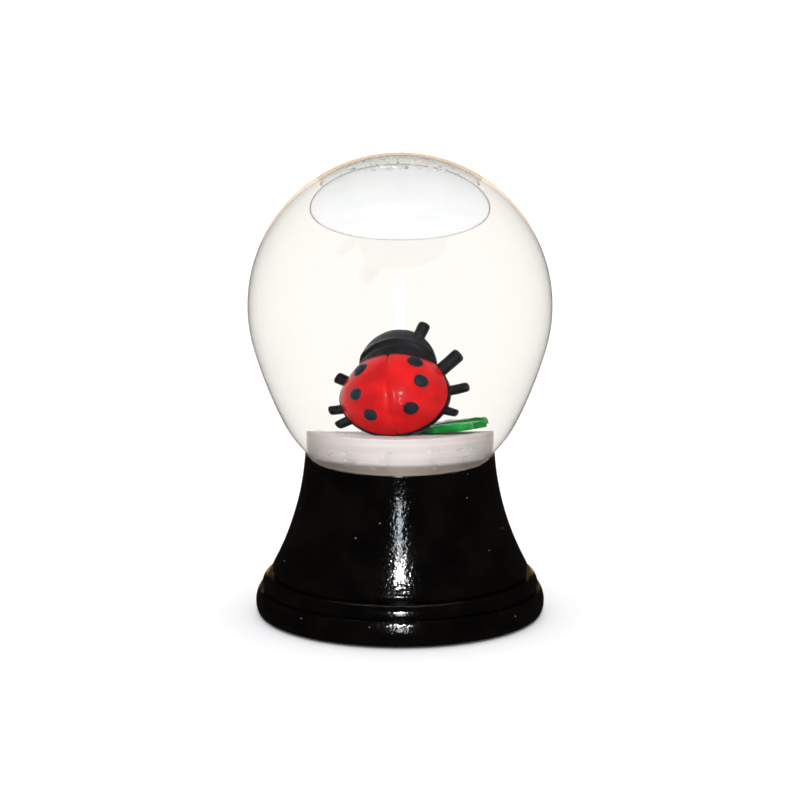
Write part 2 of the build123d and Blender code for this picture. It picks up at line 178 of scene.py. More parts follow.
def clearGlass(name, ior, tint):
    look = Finish(name, IOR=ior, Transmission_Weight=1.0)
    wave = look.grain(9.0, 1.0, offset=2)
    film = look.grain(4.0, 4.0, offset=9).between(0.56, 0.74)
    warm = tuple(c * 0.985 for c in tint)
    look.feed("Base Color", look.blend(film, tint, warm))
    look.feed("Roughness", film * 0.012)
    look.bumps((wave, 0.012))
    return look.material


def paintedLightSkin(name, cover):
    # The skin of the air under the crown: a painted pale bluish reflection, a little cloudy, with
    # painted grey shade where it turns away and in a line near its edge.
    look = Finish(name, IOR=1.03, Roughness=0.05)
    turnAway = look.value(look.node("ShaderNodeLayerWeight", Blend=0.5).outputs["Facing"])
    out = (look.axis("X") * look.axis("X") + look.axis("Y") * look.axis("Y")) ** 0.5
    edge = out.between(bubble["radius"] - bubble["shadeLineFrom"], bubble["radius"] - bubble["shadeLineTo"])
    # painted grey shade: the line near the edge, and wherever the skin turns away from view
    rim = edge.math("MAXIMUM", turnAway.between(0.76, 0.92), edge)
    cloud = look.grain(3.0, 4.0, offset=5)
    # painted pale bluish reflection of the surroundings on the water surface, partly opaque
    body = look.blend(cloud, (0.90, 0.945, 0.99), (0.95, 0.975, 1.0))
    # the painted grey shade laid over the pale body, also made more opaque below
    look.feed("Base Color", look.blend(rim, body, (0.36, 0.33, 0.3)))
    look.feed("Alpha", cover + cloud * 0.1 + rim * 0.42)
    return look.material


def whitePlastic():
    look = Finish("whitePlastic", IOR=1.46, Subsurface_Weight=0.12, Subsurface_Scale=0.8 * mm)
    turned = look.grain(0.9, 3.0, stretch=(0.05, 0.05, 3.2), roughness=0.65)
    soft = look.grain(2.6, 3.0, offset=4)
    stain = look.grain(1.4, 4.0, offset=8).between(0.55, 0.72)
    height = look.axis("Z")
    low = 1.0 - height.between(14.6, 15.0)  # painted shade: darker and browner below 14.6 mm, where the plug sits down in the glass neck
    body = look.blend(soft, (0.56, 0.51, 0.5), (0.66, 0.615, 0.6))
    body = look.blend(turned.between(0.42, 0.66) * 0.5, body, (0.48, 0.44, 0.43))
    body = look.blend(stain * 0.25, body, (0.56, 0.5, 0.46))
    # the painted shade of the neck laid over the plug's own colour
    look.feed("Base Color", look.blend(low * 0.9, body, (0.2, 0.16, 0.13)))
    look.feed("Roughness", 0.38 + turned * 0.2)
    look.bumps((turned, 0.02), (soft, 0.02))
    return look.material


def enamel(name, deep, bright, worn):
    # Hand-brushed gloss paint on moulded plastic.
    look = Finish(name, IOR=1.125, Coat_Roughness=0.05, Coat_IOR=1.14)  # as seen under water
    brushed = look.grain(0.5, 3.0, stretch=(1, 1, 0.3), roughness=0.6)
    pooled = look.grain(1.3, 3.0, offset=6)
    pits = 1.0 - look.cells(0.42).between(0.05, 0.12)
    thin = look.grain(0.8, 4.0, offset=12).between(0.62, 0.78)
    body = look.blend(pooled.between(0.3, 0.7), deep, bright)
    body = look.blend(thin * 0.35, body, worn)
    look.feed("Base Color", body)
    look.feed("Roughness", 0.24 + brushed * 0.16 + pits * 0.2)
    look.feed("Coat Weight", 0.85 - thin * 0.35 - pits * 0.4)
    look.bumps((brushed, 0.018), (pooled, 0.05), (1.0 - pits, 0.015))
    return look.material


def snowPlastic(name, cover):
    look = Finish(name, IOR=1.49, Subsurface_Weight=0.2, Subsurface_Scale=0.2 * mm)
    frost = look.grain(0.12, 3.0)
    patch = look.grain(0.45, 2.0, offset=3)
    body = look.blend(patch.between(0.36, 0.62), (0.36, 0.37, 0.39), (0.93, 0.93, 0.91))
    look.feed("Base Color", body)
    look.feed("Roughness", 0.3 + frost * 0.35)
    if cover < 1:  # thin flakes nearly vanish in water
        look.feed("Alpha", cover + patch * 0.12)
    look.bumps((frost, 0.012))
    return look.material


def feltCloth():
    look = Finish("feltCloth", IOR=1.45, Sheen_Weight=0.5, Sheen_Roughness=0.5,
                  Specular_IOR_Level=0.2)
    fibre = look.grain(0.12, 5.0, stretch=(1, 0.35, 1), roughness=0.75)
    cross = look.grain(0.16, 5.0, stretch=(0.3, 1, 1), offset=5, roughness=0.75)
    patch = look.grain(2.4, 3.0, offset=9)
    body = look.blend(fibre * cross * 3.0, (0.006, 0.012, 0.009), (0.04, 0.07, 0.055))
    look.feed("Base Color", look.blend(patch.between(0.5, 0.75) * 0.4, body, (0.06, 0.085, 0.07)))
    look.feed("Roughness", 0.86 + fibre * 0.14)
    look.bumps((fibre, 0.08), (cross, 0.08))
    return look.material


def matteBlack():
    look = Finish("matteBlack", IOR=1.46)
    spark = look.grain(0.09, 2.0)
    flow = look.grain(3.0, 3.0, offset=4)
    look.feed("Base Color", look.blend(flow, (0.014, 0.014, 0.014), (0.03, 0.029, 0.028)))
    look.feed("Roughness", 0.48 + spark * 0.25)
    look.bumps((spark, 0.008), (flow, 0.02))
    return look.material


def sealRubber():
    look = Finish("sealRubber", IOR=1.5)
    dusting = look.grain(0.5, 4.0)
    fine = look.grain(0.07, 2.0, offset=2)
    body = look.blend(dusting.between(0.45, 0.75), (0.018, 0.018, 0.018), (0.07, 0.068, 0.064))
    look.feed("Base Color", body)
    look.feed("Roughness", 0.6 + fine * 0.3)
    look.bumps((fine, 0.01), (dusting, 0.02))
    return look.material


def curedCement():
    look = Finish("curedCement", IOR=1.45, Subsurface_Weight=0.3, Subsurface_Scale=0.4 * mm)
    lumps = look.grain(0.7, 4.0)
    dirt = look.grain(0.35, 4.0, offset=5).between(0.5, 0.72)
    body = look.blend(lumps, (0.15, 0.12, 0.095), (0.33, 0.29, 0.24))
    look.feed("Base Color", look.blend(dirt * 0.6, body, (0.05, 0.038, 0.03)))
    look.feed("Roughness", 0.3 + dirt * 0.4)
    look.bumps((lumps, 0.06), (dirt, 0.02))
    return look.material


black = enamel("blackEnamel", (0.003, 0.003, 0.004), (0.008, 0.008, 0.011), (0.03, 0.03, 0.036))
red = enamel("redEnamel", (0.36, 0.002, 0.004), (0.54, 0.006, 0.007), (0.62, 0.035, 0.028))
green = enamel("greenEnamel", (0.002, 0.1, 0.012), (0.005, 0.25, 0.035), (0.03, 0.42, 0.07))
spotPaint = enamel("spotPaint", (0.004, 0.006, 0.01), (0.01, 0.018, 0.028), (0.04, 0.06, 0.08))
lacquer, plastic, felt = blackLacquer(), whitePlastic(), feltCloth()
drySnow, wetSnow = snowPlastic("drySnow", 1.0), snowPlastic("wetSnow", 0.12)
cement, rubber, coverBlack = curedCement(), sealRubber(), matteBlack()
airGlass = clearGlass("airGlass", 1.52, (1.0, 1.0, 1.0))
wetGlass = clearGlass("wetGlass", 1.52 / 1.333, (0.992, 0.984, 0.966))  # glass against water
bubbleSkin, smallSkin = paintedLightSkin("bubbleSkin", 0.42), paintedLightSkin("smallSkin", 0.04)
waterEdge = clearGlass("waterEdge", 1.0, (1.0, 1.0, 1.0))
print("finishes made")


def piece(name, verts, faces, materials, creaseDeg=35.0, slots=None):
    # A closed mesh in metres from points in mm, outward and smooth, with its place in its mesh.
    mesh = bpy.data.meshes.new(name)
    mesh.from_pydata([Vector(v) * mm for v in verts], [], faces)
    for made in materials:
        mesh.materials.append(made)
    if slots:
        mesh.polygons.foreach_set("material_index", slots)
    work = bmesh.new()
    work.from_mesh(mesh)
    bmesh.ops.remove_doubles(work, verts=work.verts, dist=1e-8)
    bmesh.ops.recalc_face_normals(work, faces=work.faces)
    work.to_mesh(mesh)
    work.free()
    mesh.polygons.foreach_set("use_smooth", [True] * len(mesh.polygons))
    mesh.set_sharp_from_angle(angle=math.radians(creaseDeg))
    made = bpy.data.objects.new(name, mesh)
    bpy.context.scene.collection.objects.link(made)
    return made


def lathe(outline, turns, wobble=None):
    # Points and faces of an outline of (radius, z) spun about Z; ends on the axis close to poles.
    verts, faces, rings = [], [], []
    for r, z in outline:
        if r < 1e-6:
            rings.append([len(verts)])
            verts.append((0, 0, z))
            continue
        rings.append(list(range(len(verts), len(verts) + turns)))
        for k in range(turns):
            a = 2 * math.pi * k / turns
            dr, dz = wobble(r, z, a) if wobble else (0, 0)
            verts.append(((r + dr) * math.cos(a), (r + dr) * math.sin(a), z + dz))
    spans = list(zip(rings, rings[1:]))
    if len(rings[0]) > 1:
        spans.append((rings[-1], rings[0]))
    owners = []
    for row, (low, high) in enumerate(spans):
        for k in range(turns):
            n = (k + 1) % turns
            if len(low) == 1 and len(high) == 1:
                continue
            if len(low) == 1:
                faces.append((low[0], high[k], high[n]))
            elif len(high) == 1:
                faces.append((low[n], low[k], high[0]))
            else:
                faces.append((low[k], high[k], high[n], low[n]))
            owners.append(row)
    return verts, faces, owners


def arcPoints(start, heading, radius, turnDeg, count):
    # Points of an arc from start. Heading is in degrees from +r to +z. A negative turn bends right.
    side = 1 if turnDeg > 0 else -1
    a = math.radians(heading)
    centre = (start[0] - side * radius * math.sin(a), start[1] + side * radius * math.cos(a))
    made = []
    for k in range(1, count + 1):
        b = a + math.radians(turnDeg) * k / count
        made.append((centre[0] + side * radius * math.sin(b),
                     centre[1] - side * radius * math.cos(b)))
    return made


def bow(start, end, sag, count):
    # Points from after start to end on an arc; a positive sag bows to the left of the way.
    dx, dz = end[0] - start[0], end[1] - start[1]
    length = math.hypot(dx, dz)
    radius = (length * length / 4 + sag * sag) / (2 * abs(sag))
    half = math.asin(min(1.0, length / 2 / radius))
    side = -1 if sag > 0 else 1
    heading = math.degrees(math.atan2(dz, dx)) - side * math.degrees(half)
    return arcPoints(start, heading, radius, side * math.degrees(2 * half), count)


def rounded(outline, radius, count=4):
    # The outline with each real corner eased over, as a mould or a polish leaves it.
    made = [outline[0]]
    for before, here, after in zip(outline, outline[1:], outline[2:]):
        a = Vector((before[0] - here[0], before[1] - here[1]))
        b = Vector((after[0] - here[0], after[1] - here[1]))
        if a.length < 1e-6 or b.length < 1e-6 or a.angle(b) > math.radians(160):
            made.append(here)
            continue
        cut = min(radius, a.length * 0.45, b.length * 0.45)
        p, q = Vector(here) + a.normalized() * cut, Vector(here) + b.normalized() * cut
        for k in range(count + 1):
            t = k / count
            m = p * (1 - t) ** 2 + Vector(here) * 2 * t * (1 - t) + q * t * t
            made.append((m.x, m.y))
    made.append(outline[-1])
    return made


def globeOutline(inset):
    # From the crown down to the neck's end, moved inwards by inset.
    lean = globe["ballLean"]
    points = [(0.0, globe["centreZ"] + globe["radius"] - inset)]
    points += arcPoints(points[0], 0, globe["radius"] - inset, -(90 + lean), 106)
    for bend, turn in (globe["cheek"], globe["shoulder"]):
        points += arcPoints(points[-1], -90 - lean, bend - inset, -turn, 20)
        lean += turn
    neck = globe["neckRadius"] - inset
    throat = (points[-1][0] - neck) / (1 - math.cos(math.radians(lean)))
    points += arcPoints(points[-1], -90 - lean, throat, lean, 10)
    points.append((neck, globe["neckEndZ"]))
    return points


def radiusAt(outline, z):
    for (r0, z0), (r1, z1) in zip(outline, outline[1:]):
        if min(z0, z1) <= z <= max(z0, z1) and abs(z1 - z0) > 1e-9:
            return r0 + (r1 - r0) * (z - z0) / (z1 - z0)
    return 0.0


def merged(parts):
    # Several closed forms as one list of points and one of faces.
    verts, faces = [], []
    for some, of in parts:
        faces += [tuple(v + len(verts) for v in face) for face in of]
        verts += some
    return verts, faces


def wander(point, size, seed=0.0):  # smooth noise from -1 to 1 with features about size mm
    return noise.noise(Vector(point) / size + Vector((seed, seed * 1.7, seed * 0.6)))


def bubbleOutline():
    # The bubble under the crown: a flat floor, a rounded edge and an arched top, pole to pole.
    wide, floorZ, arch = bubble["radius"], bubble["floorZ"], bubble["archRadius"]
    start = math.asin(wide / arch)
    middle = floorZ - arch * math.cos(start)
    turns = [start * (1 - k / 30) for k in range(1, 30)]
    top = [(arch * math.sin(turn), middle + arch * math.cos(turn)) for turn in turns]
    way = [(0.0, floorZ), (wide, floorZ)] + top + [(0.0, middle + arch)]
    return rounded(way, bubble["edgeRadius"], 10)


def sideBubble(x, upright, ahead, size):
    # A small flattened bubble that clings to the glass, longest along it.
    tilt, rows = math.radians(bubble["smallTiltDeg"]), bubble["smallRows"]
    spoke = Vector((x, upright * math.sin(tilt) - ahead * math.cos(tilt),
                    upright * math.cos(tilt) + ahead * math.sin(tilt))).normalized()
    middle = Vector((0, 0, globe["centreZ"])) + spoke * bubble["smallReach"]
    flow = Vector((0, math.cos(tilt), -math.sin(tilt))).cross(spoke).normalized()
    deep = flow.cross(spoke)
    curve = [(math.sin(math.pi * k / rows), -math.cos(math.pi * k / rows)) for k in range(1, rows)]
    verts, faces, owners = lathe([(0.0, -1.0)] + curve + [(0.0, 1.0)], bubble["smallTurns"])
    wide, thick = bubble["smallWidth"], bubble["smallDepth"]
    return [middle + flow * v[0] * size + deep * v[1] * size * wide + spoke * v[2] * size * thick
            for v in verts], faces


outer, inner = globeOutline(0), globeOutline(globe["wall"])
lip = arcPoints((outer[-1][0], outer[-1][1]), -90, globe["wall"] / 2, -180, 8)[:-1]
verts, faces, owners = lathe(outer + lip + inner[::-1], globe["turns"])
firstWet = len(outer) + len(lip) - 1
slots = [1 if firstWet <= row else 0 for row in owners]
globeGlass = piece("globeGlass", verts, faces, [airGlass, wetGlass], 60, slots)

gap = 0.02
filled = globeOutline(globe["wall"] + gap)
sideWall = [p for p in filled if p[1] > plugTopZ + gap]
floorRadius = radiusAt(filled, plugTopZ + gap)
pool = [(0, plugTopZ + gap)] + [(floorRadius * k / 6, plugTopZ + gap) for k in range(1, 7)]
verts, faces, owners = lathe(pool + sideWall[::-1], globe["turns"])
waterBody = piece("waterBody", verts, faces, [waterEdge], 60)
verts, faces, owners = lathe(bubbleOutline(), 220)
airBubble = piece("airBubble", verts, faces, [bubbleSkin], 80)
verts, faces = merged([sideBubble(*at) for at in bubble["small"]])
sideBubbles = piece("sideBubbles", verts, faces, [smallSkin], 80)
for made in (airBubble, sideBubbles):
    made.visible_shadow = False
for made, node in ((globeGlass, "globe_glass"), (waterBody, "water_fill")):
    made.visible_shadow = False  # lamps light the figure inside
    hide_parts(node)
print("bulb and water made")


pedestal = {
    "foot": (11.87, 0.25, 2.3), "ring": (11.35, 10.85, 3.5), "lip": (10.5, 4.1),
    "rim": (7.8, 13.6), "flareSag": 0.52, "step": 0.18, "ripple": 0.012, "turns": 320,
    "footBend": 0.82, "footLean": 0.3, "footSags": (-0.06, -0.1), "ringSag": -0.16, "corner": 0.07,
    "seatGap": 0.15, "bore": (6.6, 9.0), "roofZ": 8.0,
    "under": ((7.0, 8.0), (9.2, 4.1), (9.9, 2.9), (9.9, 1.45), (10.7, 1.45), (10.7, 0.25)),
}


def pedestalOutline():
    footRadius, footZ, footTop = pedestal["foot"]
    ringRadius, ringTop, ringTopZ = pedestal["ring"]
    lipRadius, lipZ = pedestal["lip"]
    step = pedestal["step"]
    side = [(footRadius - 0.25, footZ)]
    side += bow(side[-1], (footRadius, footZ + pedestal["footBend"]), pedestal["footSags"][0], 8)
    side += bow(side[-1], (footRadius - pedestal["footLean"], footTop), pedestal["footSags"][1], 10)
    side += [(ringRadius - step, footTop), (ringRadius, footTop + step)]
    side += bow(side[-1], (ringTop, ringTopZ), pedestal["ringSag"], 12)
    side += [(lipRadius - step, ringTopZ), (lipRadius, ringTopZ + step), (lipRadius, lipZ)]
    side += bow(side[-1], pedestal["rim"], pedestal["flareSag"], 60)
    rimZ, socket = pedestal["rim"][1], globeOutline(-pedestal["seatGap"])
    side += [(radiusAt(socket, rimZ), rimZ)] + [p for p in socket if p[1] < rimZ][:-1]
    side += [pedestal["bore"], (0.0, pedestal["bore"][1])]
    return [(0.0, pedestal["roofZ"]), *pedestal["under"]] + side


def moulded(r, z, a):  # the slight unevenness of a cast and polished side
    if z < 4.2 or r < 7.0:  # only the flare
        return 0, 0
    return pedestal["ripple"] * wander((r * math.cos(a), r * math.sin(a), z), 2.6, 3.0), 0


shellSide = rounded(pedestalOutline(), pedestal["corner"])
verts, faces, owners = lathe(shellSide, pedestal["turns"], moulded)
pedestalShell = piece("pedestalShell", verts, faces, [lacquer], 50)
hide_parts("base_shell")

cementRing = {"top": 13.5, "low": 9.5, "lumps": 0.05}
seam = [p for p in globeOutline(-0.14) if cementRing["low"] < p[1] < cementRing["top"]]
glassSide = [p for p in globeOutline(-0.005) if cementRing["low"] < p[1] < cementRing["top"] + 0.02]
bead = seam[::-1] + glassSide


def lumpy(r, z, a):  # only the bead that shows above the rim is uneven
    if z <= 13.2:
        return 0, 0
    return 0, cementRing["lumps"] * wander((r * math.cos(a), r * math.sin(a), z), 0.9, 8.0)


verts, faces, owners = lathe(bead, 200, lumpy)
cementBead = piece("cementBead", verts, faces, [cement], 60)
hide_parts("neck_cement")

feltDisc = {"radius": 10.4, "thickness": 0.65, "fray": 0.05, "nap": 0.012,
            "corner": 0.15, "turns": 240}
wide, thick = feltDisc["radius"], feltDisc["thickness"]
edge = rounded([(0, 0.02), (wide - 0.05, 0.0), (wide, 0.3), (wide - 0.05, thick), (0, thick)],
               feltDisc["corner"])
rings = [(wide * k / 20, 0.0) for k in range(1, 20)]


def frayed(r, z, a):  # a cut edge that frays and a nap below
    x, y = r * math.cos(a), r * math.sin(a)
    inwards = -feltDisc["fray"] * abs(wander((x, y, z), 0.5, 4.0)) if r > 10 else 0
    return inwards, feltDisc["nap"] * abs(wander((x, y, 0), 0.8, 2.0)) if z < 0.1 else 0


verts, faces, owners = lathe([edge[0]] + rings + edge[1:], feltDisc["turns"], frayed)
feltPad = piece("feltPad", verts, faces, [felt], 50)
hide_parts("felt_pad")

disc = {
    "radius": 5.6, "flange": 6.4, "flangeTopZ": 9.5, "hollow": 4.5, "lowZ": 9.02, "roofZ": 15.85,
    "groove": (5.1, 10.7, 11.5), "corner": 0.14, "turns": 240,
}
grooveRadius, grooveLow, grooveTop = disc["groove"]
top = [(disc["radius"] * k / 14, plugTopZ) for k in range(14)]
plugOutline = top + [
    (disc["radius"], plugTopZ), (disc["radius"], grooveTop), (grooveRadius, grooveTop),
    (grooveRadius, grooveLow), (disc["radius"], grooveLow), (disc["radius"], disc["flangeTopZ"]),
    (disc["flange"], disc["flangeTopZ"]), (disc["flange"], disc["lowZ"]),
    (disc["hollow"], disc["lowZ"]), (disc["hollow"], disc["roofZ"]), (0, disc["roofZ"]),
]


def turnedFace(r, z, a):  # a sprue dimple and soft turning rings on top
    if z < plugTopZ - 0.1:
        return 0.006 * wander((0, 0, z), 0.35, 6.0) if z > 11.6 else 0, 0
    return 0, -0.008 * (0.5 + 0.5 * math.cos(r * 9.0))


verts, faces, owners = lathe(rounded(plugOutline, disc["corner"], 5), disc["turns"], turnedFace)
plugDisc = piece("plugDisc", verts, faces, [plastic], 45)
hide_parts("plug")
print("pedestal, cement, felt and plug made")


ladybug = {
    "place": (-0.3, 0.6, 20.1), "turn": 15.0, "lean": 27.0, "roll": 10.0,
    "domeRadius": 3.27, "domeHeight": 2.35, "bellyRadius": 3.34, "bellyDepth": 0.9,
    "seamGap": 0.002, "seamDip": 0.035,
}
turn, lean, roll = (math.radians(ladybug[word]) for word in ("turn", "lean", "roll"))
outward = Vector((-math.sin(turn) * math.cos(lean), -math.cos(turn) * math.cos(lean),
                  math.sin(lean)))
level = Vector((0, 0, 1)).cross(outward).normalized()
across = level * math.cos(roll) + outward.cross(level) * math.sin(roll)
along = outward.cross(across)
bugCentre = Vector(ladybug["place"])
domeBall = (ladybug["domeRadius"] ** 2 + ladybug["domeHeight"] ** 2) / (2 * ladybug["domeHeight"])


def onBug(x, y, z):  # across to the right, along to the head, out of the back
    return bugCentre + across * x + along * y + outward * z


def stand(points):  # presses what would go through the plug flat on it
    floorZ = plugTopZ + 0.004
    return [Vector((p.x, p.y, max(p.z, floorZ))) for p in map(Vector, points)]


def domeHeightAt(x, y):
    flat = x * x + y * y
    return ladybug["domeHeight"] - domeBall + math.sqrt(max(0.0, domeBall ** 2 - flat))


def slab(outline, middle, top, under, place, rows=26, crowd=0.75):
    # A closed form over a flat outline: rings out from the middle on top and back in below.
    turns, verts = len(outline), [place(*middle, top(*middle, 0.0))]
    parts = [math.sin(row / rows * math.pi / 2) ** crowd for row in range(1, rows + 1)]
    for part, height in [(p, top) for p in parts] + [(p, under) for p in parts[-2::-1]]:
        for ox, oy in outline:
            x, y = middle[0] + (ox - middle[0]) * part, middle[1] + (oy - middle[1]) * part
            verts.append(place(x, y, height(x, y, part)))
    verts.append(place(*middle, under(*middle, 0.0)))
    faces = [(0, 1 + k, 1 + (k + 1) % turns) for k in range(turns)]
    rings = 2 * rows - 1
    for row in range(rings - 1):
        a, b = 1 + row * turns, 1 + (row + 1) * turns
        faces += [(a + k, b + k, b + (k + 1) % turns, a + (k + 1) % turns) for k in range(turns)]
    a = 1 + (rings - 1) * turns
    return verts, faces + [(a + k, len(verts) - 1, a + (k + 1) % turns) for k in range(turns)]


def roundOutline(cx, cy, radius, turns=120, waver=0.0, seed=1.0):
    made = []
    for k in range(turns):
        a = 2 * math.pi * k / turns
        r = radius * (1 + waver * wander((math.cos(a), math.sin(a), 0), 0.8, seed))
        made.append((cx + r * math.cos(a), cy + r * math.sin(a)))
    return made


def wingCase(side):
    # Half of the domed back, with a soft edge along the seam and a rounded notch at the head.
    reach, start = ladybug["domeRadius"], (1.3, 0.0)
    outline = []
    for k in range(200):
        a = 2 * math.pi * k / 200
        toSeam = (start[0] - ladybug["seamGap"] / 2) / max(1e-6, -math.cos(a))
        b = start[0] * math.cos(a)
        toRim = -b + math.sqrt(b * b + reach * reach - start[0] ** 2)
        sharp = 6 if math.sin(a) > 0 else 30  # rounder at the notch
        far = (toSeam ** -sharp + toRim ** -sharp) ** (-1 / sharp) if math.cos(a) < 0 else toRim
        outline.append((start[0] + far * math.cos(a), far * math.sin(a)))

    def top(x, y, part):
        z = domeHeightAt(x, y)
        z -= ladybug["seamDip"] * math.exp(-((x / 0.14) ** 2))
        z += 0.03 * math.exp(-(((x - 0.34) / 0.2) ** 2))  # paint gathers beside the seam
        z += 0.04 * wander((side * x, y, z), 1.6, 5.0) + 0.014 * wander((side * x, y, z), 0.5, 9.0)
        edge = max(0.0, part - 0.998) / 0.002  # the last ring turns in under the rim
        return max(z, 0.02) * (1 - edge) if part < 1 else 0.0

    return slab(outline, start, top, lambda x, y, part: -0.02,
                lambda x, y, z: onBug(side * x, y, z), 34, 0.8)


def belly():
    depth = ladybug["bellyDepth"]

    def under(x, y, part):
        turnIn = max(0.0, (part - 0.86) / 0.14) ** 2 * 0.45
        return -depth * (1 - turnIn) + 0.03 * wander((x, y, 0), 1.0, 2.0)

    def top(x, y, part):
        return -0.03 - 0.22 * max(0.0, (part - 0.93) / 0.07) ** 2

    outline = roundOutline(0, 0, ladybug["bellyRadius"], 150, 0.006, 3.0)
    verts, faces = slab(outline, (0.0, 0.0), top, under, onBug, 24)
    return stand(verts), faces


head = {
    "middle": (0.27, 2.15), "radius": 2.3, "height": 1.2, "depth": 0.8,
    "brow": 0.1, "browReach": 3.62,
}


def headCap():
    mx, my = head["middle"]
    ball = (head["radius"] ** 2 + head["height"] ** 2) / (2 * head["height"])

    def top(x, y, part):
        flat = (x - mx) ** 2 + (y - my) ** 2
        z = head["height"] - ball + math.sqrt(max(0.0, ball ** 2 - flat))
        brow, past = head["brow"], math.hypot(x, y) - head["browReach"]
        z += brow * math.exp(-((past / 0.13) ** 2))  # ridge of the collar
        z -= 0.7 * brow * math.exp(-(((past + 0.3) / 0.14) ** 2))  # and the furrow beside it
        return z + 0.035 * wander((x, y, z), 1.1, 7.0) * (1 - part ** 4)

    def under(x, y, part):
        return -head["depth"] * (1 - max(0.0, (part - 0.8) / 0.2) ** 2 * 0.6)

    outline = roundOutline(mx, my, head["radius"], 140, 0.012, 5.0)
    return slab(outline, (mx, my), top, under, onBug, 30, 0.8)


spot = {
    "radius": 0.52, "rise": 0.2, "leftAt": ((1.72, 1.85), (2.15, -0.1), (1.4, -1.95)),
    "rightAt": ((1.66, 1.92), (2.08, 0.4), (1.3, -1.8)),
}


def spotDot(side, x, y, seed):
    # A thick drop of paint that follows the dome below it.
    z = domeHeightAt(x, y)
    foot = onBug(side * x, y, z)
    normal = (foot - onBug(0, 0, ladybug["domeHeight"] - domeBall)).normalized()
    right = normal.orthogonal().normalized()
    ahead = normal.cross(right)

    def place(px, py, pz):
        return foot + right * px + ahead * py + normal * (pz - (px * px + py * py) / (2 * domeBall))

    def top(px, py, part):
        if part >= 1:
            return 0.0
        return spot["rise"] * (1 - part ** 3.2) + 0.012 * wander((px, py, seed), 0.4, seed)

    outline = roundOutline(0, 0, spot["radius"], 48, 0.05, seed)
    return slab(outline, (0.0, 0.0), top, lambda px, py, part: -0.07, place, 12, 0.8)


rod = {"turns": 26, "steps": 40, "flat": 0.92, "tip": 0.9, "lumps": 0.07}


def clayRod(points, radii, seed):
    # A rolled rod along a smooth way through points (in the ladybug's frame), rounded at its tip.
    way, turns, steps = [Vector(p) for p in points], rod["turns"], rod["steps"]

    def at(t):
        u = t * (len(way) - 1)
        k = min(int(u), len(way) - 2)
        f = u - k
        a, b, c, d = way[max(k - 1, 0)], way[k], way[k + 1], way[min(k + 2, len(way) - 1)]
        square, cube = 2 * a - 5 * b + 4 * c - d, 3 * b - a - 3 * c + d
        return 0.5 * (2 * b + (c - a) * f + square * f * f + cube * f ** 3)

    length = sum((b - a).length for a, b in zip(way, way[1:]))
    verts = [onBug(*at(0.0))]
    for row in range(steps):
        t = row / (steps - 1)
        t = 1 - (1 - t) ** 1.5  # rows crowd to the tip
        here = at(min(t, 0.9995))
        heading = (at(min(1.0, t + 0.02)) - at(max(0.0, min(1.0, t + 0.02) - 0.04))).normalized()
        side = heading.cross(Vector((0, 0, 1))).normalized()
        lift = side.cross(heading)
        radius = radii[0] + (radii[1] - radii[0]) * t
        left = (1 - t) * length
        if left < radius * rod["tip"]:
            radius *= max(0.02, 1 - (1 - left / (radius * rod["tip"])) ** 2.6) ** 0.5
        for k in range(turns):
            a = 2 * math.pi * k / turns
            spoke = side * math.cos(a) + lift * math.sin(a) * rod["flat"]
            lump = 1 + rod["lumps"] * wander(here + spoke, 0.7, seed)
            verts.append(onBug(*(here + spoke * radius * lump)))
    verts.append(onBug(*at(1.0)))
    faces = [(0, 1 + (k + 1) % turns, 1 + k) for k in range(turns)]
    for row in range(steps - 1):
        a, b = 1 + row * turns, 1 + (row + 1) * turns
        faces += [(a + k, a + (k + 1) % turns, b + (k + 1) % turns, b + k) for k in range(turns)]
    a = 1 + (steps - 1) * turns
    return verts, faces + [(a + k, a + (k + 1) % turns, len(verts) - 1) for k in range(turns)]


legs = {  # side, degrees up towards the head, reach, bend towards the head, radii from body to tip
    "legFrontLeft": (-1, 33, 4.05, 0.05, 0.4, 0.38),
    "legFrontRight": (1, 33, 4.8, 0.1, 0.4, 0.42),
    "legMiddleLeft": (-1, -8, 4.1, 0.06, 0.4, 0.36),
    "legMiddleRight": (1, 3, 4.5, 0.08, 0.42, 0.38),
    "legRearLeft": (-1, -26, 4.2, -0.05, 0.42, 0.34),
    "legRearRight": (1, -26, 4.2, -0.08, 0.42, 0.3),
    "drop": 0.45, "root": 2.0,
}


def leg(side, angle, reach, bend, thick, thin, seed):
    a = math.radians(angle)
    away = Vector((side * math.cos(a), math.sin(a), 0))
    crosswise = Vector((0, 0, 1)).cross(away) * side
    root, drop = legs["root"], Vector((0, 0, -legs["drop"]))
    points = [away * r + crosswise * bend * ((r - root) / (reach - root)) ** 2 + drop
              for r in (root, root + (reach - root) / 3, root + (reach - root) * 2 / 3, reach)]
    verts, faces = clayRod(points, (thick, thin), seed)
    return stand(verts), faces


feelers = {  # side, across, along, out, length, radii
    "feelerLeft": (-1, 0.55, 0.35, -0.75, 0.8, 0.34, 0.36),
    "feelerRight": (1, 0.5, 0.85, 0.0, 0.8, 0.34, 0.38),
}


def feeler(side, x, y, z, length, thick, thin):
    direction = Vector((side * x, y, z)).normalized()
    start = Vector((head["middle"][0] + side * x * 2, head["middle"][1] + y * 1.3, 0.0))
    points = [start + direction * (length + 0.8) * k / 3 for k in range(4)]
    return clayRod(points, (thick, thin), side + 4.0)


leaf = {
    "length": 4.4, "width": 3.2, "thickness": 0.65, "stalk": (0.6, 1.8, 17.1),
    "cup": 0.12, "vein": 0.12,
    "leafRight": (-20, 4), "leafBackRight": (40, 7), "leafBack": (97, 6),
}


